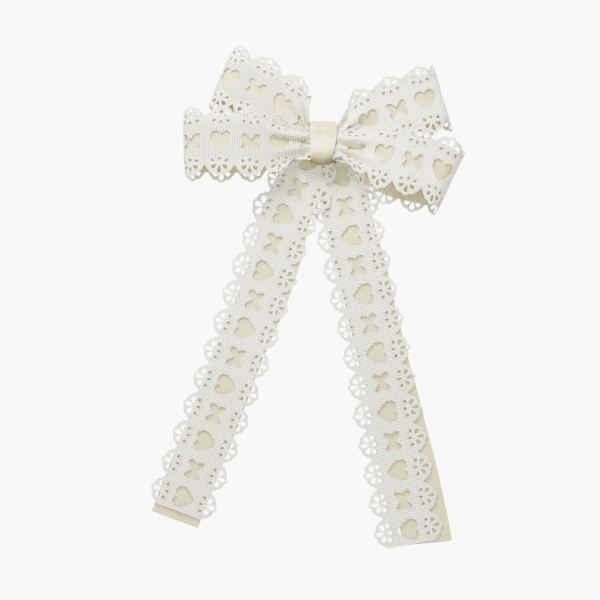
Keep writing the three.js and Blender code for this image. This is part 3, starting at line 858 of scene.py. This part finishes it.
def knot_piece():
    """A satin band round the middle: wide at the top of the front, drawn in at its foot, with soft creases."""
    path, at = wrapped_path("knot_wrap", KNOT_THICKNESS, 0.7 * MM, KNOT_ROUNDNESS)
    front, top = path[:, 0].min(), path[:, 1].max()
    rows = np.linspace(0, at[-1], 181)[:-1]
    y, z = (np.interp(rows, at, path[:, k]) for k in (0, 1))
    on_front = 1 - smooth(front + 1 * MM, front + 6 * MM, y)
    share = np.linspace(-1, 1, 37)
    foot = on_front * (1 - smooth(-top, 0.45 * top, z))
    left = -KNOT_HALF_WIDTH * (1.04 - 0.05 * foot)
    right = KNOT_HALF_WIDTH * (1.08 - 0.4 * foot)
    x = left[:, None] * (1 - share) / 2 + right[:, None] * (1 + share) / 2
    above = on_front * smooth(0.4 * top, top, z)
    slant = above[:, None] * (-0.5 * MM - 0.6 * MM * (share + 1) / 2 - 0.45 * MM * np.exp(-((share - 0.35) / 0.22) ** 2))
    around = rows / (6.5 * MM)
    crease = 0.2 * MM * np.cos(share * 6.5 + 0.8 + 0.5 * np.sin(around)[:, None])
    crease = crease * (0.35 + 0.65 * np.cos(around) ** 2)[:, None]
    hem = -0.35 * MM * np.abs(share[None]) ** 6 * on_front[:, None]
    hollow = 0.55 * MM * foot[:, None] * np.exp(-((z + 0.8 * top) / (1.3 * MM)) ** 2)[:, None]
    depth = y[:, None] + crease * on_front[:, None] - hem + hollow * (1 - share[None] ** 2)
    below = on_front * (1 - smooth(-top, -0.35 * top, z))
    sag = below[:, None] * MM * (2.3 * (1 - share[None] ** 2) - 0.3)
    points = np.stack([x, depth, z[:, None] + slant - sag], -1)
    middle = at[len(at) // 4]
    flat = np.stack(np.broadcast_arrays(rows[:, None] - middle, share[None] * KNOT_HALF_WIDTH), -1)
    obj = new_object("knot_ribbon", grid_mesh("knot_ribbon", points, flat, closed=True), knot_satin)
    thickened(obj, KNOT_THICKNESS)
    finished(obj)
    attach(obj, "bow")
    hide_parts("knot_wrap")
    return obj


THREAD_TURNS = 8
THREAD_RADIUS = 0.28 * MM


def tube_mesh(name, places, radius, sides=10, closed=False):
    """A round bar that follows the places, with its ends filled."""
    places = np.asarray(places)
    ahead = np.gradient(places, axis=0)
    ahead /= np.linalg.norm(ahead, axis=1)[:, None]
    rows, side = [], np.cross(ahead[0], (0.31, 0.87, 0.39))
    for spot, way in zip(places, ahead):
        side = side - way * side.dot(way)
        side /= np.linalg.norm(side)
        up = np.cross(way, side)
        a = np.linspace(0, 2 * np.pi, sides, endpoint=False)[:, None]
        rows.append(spot + radius * (np.cos(a) * side + np.sin(a) * up))
    ids = np.arange(len(rows) * sides).reshape(len(rows), sides)
    wrap = np.roll(ids, -1, 1)
    faces = np.stack([ids[:-1], wrap[:-1], wrap[1:], ids[1:]], -1).reshape(-1, 4).tolist()
    faces += [ids[0, ::-1].tolist(), ids[-1].tolist()]
    mesh = bpy.data.meshes.new(name)
    mesh.from_pydata(np.vstack(rows).tolist(), [], faces)
    mesh.polygons.foreach_set("use_smooth", [True] * len(mesh.polygons))
    mesh.set_sharp_from_angle(angle=math.radians(50))
    mesh.update()
    return mesh


def thread_piece(material):
    """The thread wound side by side round the gathered middle."""
    path, at = wrapped_path("binding_thread", 2 * THREAD_RADIUS, 0, THREAD_ROUNDNESS)
    low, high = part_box("binding_thread")
    q = np.linspace(0, 1, THREAD_TURNS * 72)
    y, z = (np.interp(q * THREAD_TURNS % 1 * at[-1], at, path[:, k]) for k in (0, 1))
    x = mix(low.x + THREAD_RADIUS, high.x - THREAD_RADIUS, q)
    obj = new_object("thread", tube_mesh("thread", np.stack([x, y, z], -1), THREAD_RADIUS), material)
    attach(obj, "bow")
    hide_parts("binding_thread")


# ---- The clip, the thread and the glue ---------------------------------------------------------


def metal_material(name, color, roughness, grain):
    """Plated steel with fine marks from rolling."""
    material, tree, shader = new_material(name, color, roughness, 1.0)
    place = make(tree, "ShaderNodeTexCoord", out=3)
    scaled = make(tree, "ShaderNodeVectorMath", dict(operation="MULTIPLY"), i0=place, i1=(grain, 6000, 6000))
    marks = make(tree, "ShaderNodeTexNoise", Vector=scaled, Scale=1.0, Detail=2.0)
    feed(tree, shader.inputs["Roughness"], marks * 0.22 + (roughness - 0.08))
    bumped(tree, shader, marks, 0.006 * MM)
    return material


def plain_material(name, color, roughness, lumps, depth):
    """One colour with small soft lumps."""
    material, tree, shader = new_material(name, color, roughness)
    place = make(tree, "ShaderNodeTexCoord", out=3)
    bumped(tree, shader, make(tree, "ShaderNodeTexNoise", Vector=place, Scale=lumps, Detail=2.0), depth)
    return material


steel = metal_material("plated_steel", srgb(186, 187, 192), 0.28, 300)
spring_steel = metal_material("spring_steel", srgb(150, 150, 155), 0.34, 2000)
thread_cotton = plain_material("thread_cotton", srgb(238, 236, 228), 0.8, 4000, 0.1 * MM)
glue = plain_material("clear_glue", srgb(226, 220, 204), 0.25, 260, 0.3 * MM)


def dress(node, material, bevel=0.0):
    """Gives a CAD piece its material, and softens its edges."""
    obj = frame["nodes"][node]
    obj.data.materials.clear()
    obj.data.materials.append(material)
    if bevel:
        soft = obj.modifiers.new("soft_edges", "BEVEL")
        soft.width = bevel
        soft.segments = 2
        soft.limit_method = "ANGLE"
        soft.angle_limit = math.radians(40)
        soft.harden_normals = False


PIN_AT = Vector((11, 0.6, 0)) * MM
COIL_RADIUS = 1.2                # in millimetres, like the rest of the spring
COIL_TURNS = 2.5
COIL_HALF_LENGTH = 1.7
SPRING_WIRE = 0.3
FIXED_LEG = ((10.0, -1.3), (5.0, -1.3))     # from the pin, along the fixed jaw
MOVING_LEG = ((3.1, 1.5), (10.0, 4.46))     # from the pin, along the thumb end


def spring_piece(material):
    """A torsion spring: one leg along the fixed jaw, a coil round the pin, one leg along the thumb end."""
    q = np.linspace(0, 1, 91)
    a = -np.pi / 2 - COIL_TURNS * 2 * np.pi * q
    coil = np.stack([COIL_RADIUS * np.cos(a), COIL_RADIUS * np.sin(a), COIL_HALF_LENGTH * (2 * q - 1)], -1)
    first = [(x, y, -COIL_HALF_LENGTH) for x, y in FIXED_LEG]
    last = [(x, y, COIL_HALF_LENGTH) for x, y in MOVING_LEG]
    corners = np.vstack([first, coil, last])
    at = np.concatenate([[0], np.cumsum(np.linalg.norm(np.diff(corners, axis=0), axis=1))])
    even = np.linspace(0, at[-1], 240)
    places = np.stack([np.interp(even, at, corners[:, k]) for k in range(3)], -1)
    places = np.array(PIN_AT) + places * MM
    obj = new_object("torsion_spring", tube_mesh("torsion_spring", places, SPRING_WIRE * MM, 12), material)
    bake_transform(obj)
    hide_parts("clip_spring")


dress("clip_fixed_jaw", steel, 0.12 * MM)
dress("clip_moving_jaw", steel, 0.12 * MM)
dress("clip_pin", steel, 0.08 * MM)
spring_piece(spring_steel)
thread_piece(thread_cotton)
knot_piece()
dress("glue_pad", glue, 0.35 * MM)

# ---- Floor, lights and camera ------------------------------------------------------------------

FLOOR_Z = -0.32


def stage_sheet(name, corners, material):
    mesh = bpy.data.meshes.new(name)
    mesh.from_pydata(corners, [], [(0, 1, 2, 3)])
    mesh.update()
    new_object(name, mesh, material)


def area_light(name, place, target, size, power):
    light = bpy.data.lights.new(name, "AREA")
    light.shape = "DISK"
    light.size = size
    light.energy = power
    obj = bpy.data.objects.new(name, light)
    obj.location = place
    obj.rotation_euler = (Vector(target) - Vector(place)).to_track_quat("-Z", "Y").to_euler()
    bpy.context.scene.collection.objects.link(obj)


pale_floor = new_material("pale_floor", srgb(240, 240, 238), 0.7)[0]
bright_wall = new_material("bright_wall", srgb(245, 245, 244), 0.9, Emission_Color=(1.0, 1.0, 0.99, 1.0),
                           Emission_Strength=9.0)[0]
stage_sheet("floor", [(-0.8, -0.8, FLOOR_Z), (0.8, -0.8, FLOOR_Z), (0.8, 0.6, FLOOR_Z), (-0.8, 0.6, FLOOR_Z)],
            pale_floor)
stage_sheet("wall", [(-0.6, 1.7, -0.6), (0.6, 1.7, -0.6), (0.6, 1.7, 0.45), (-0.6, 1.7, 0.45)], bright_wall)

centre = Vector((-0.0115, -0.008, -0.0785))
area_light("key", (-0.15, -0.3, 0.32), (0, 0, -0.02), 0.2, 13)
area_light("fill", (0.6, -0.6, 0.0), (0, 0, -0.08), 0.5, 3.5)
area_light("front", (-0.1, -1.1, 0.1), (0, 0, -0.05), 0.6, 4)
area_light("back", (0.3, 0.5, 0.5), (0, 0, -0.08), 0.4, 6)

world = bpy.data.worlds.new("studio")
world.use_nodes = True
world.node_tree.nodes["Background"].inputs["Color"].default_value = (0.97, 0.97, 1.0, 1)
world.node_tree.nodes["Background"].inputs["Strength"].default_value = 0.55
bpy.context.scene.world = world

camera = bpy.data.cameras.new("camera")
camera.lens = 144
camera.sensor_width = 36
camera_object = bpy.data.objects.new("camera", camera)
camera_object.location = centre + Vector((0, -1.2, 0))
camera_object.rotation_euler = (math.radians(90), 0, 0)
bpy.context.scene.collection.objects.link(camera_object)
bpy.context.scene.camera = camera_object
